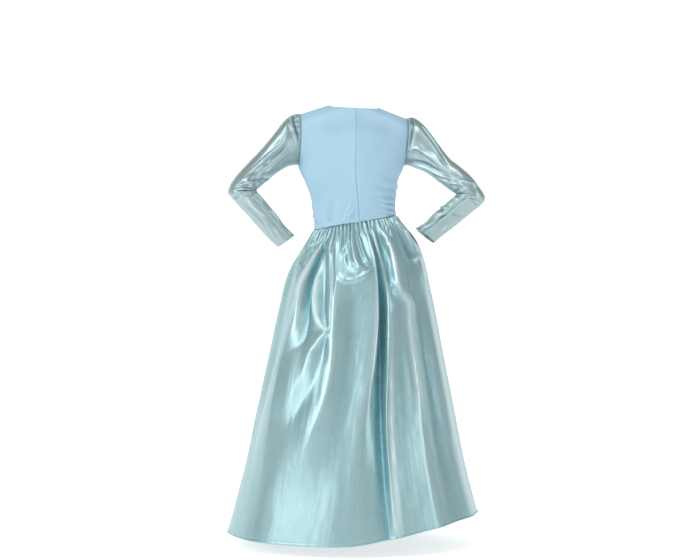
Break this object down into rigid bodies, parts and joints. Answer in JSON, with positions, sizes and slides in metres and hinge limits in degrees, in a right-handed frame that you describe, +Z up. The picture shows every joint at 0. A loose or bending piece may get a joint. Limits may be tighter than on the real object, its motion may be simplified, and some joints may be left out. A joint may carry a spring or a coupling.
{
  "type": "princess costume dress",
  "caption": "Child's long princess costume dress, worn and standing: knit bodice, long satin sleeves bent to the hips, gathered ankle-length satin skirt.",
  "frame": {"origin": "between the shoulder seams, at the height of their middles, where the shoulders carry the dress", "axes": "+Z up, -Y the wearer's front, +X the wearer's left"},
  "size_m": [0.6192, 0.5215, 1.0353],
  "materials": {
    "knit": "matte light blue stretch knit",
    "satin": "glossy ice-blue satin"
  },
  "bodies": {
    "root": {"bodice_front": "knit", "bodice_back_left": "knit", "bodice_back_right": "knit", "sleeve_left": "satin", "sleeve_right": "satin", "skirt_front": "satin", "skirt_back_left": "satin", "skirt_back_right": "satin"}
  },
  "joints": []
}
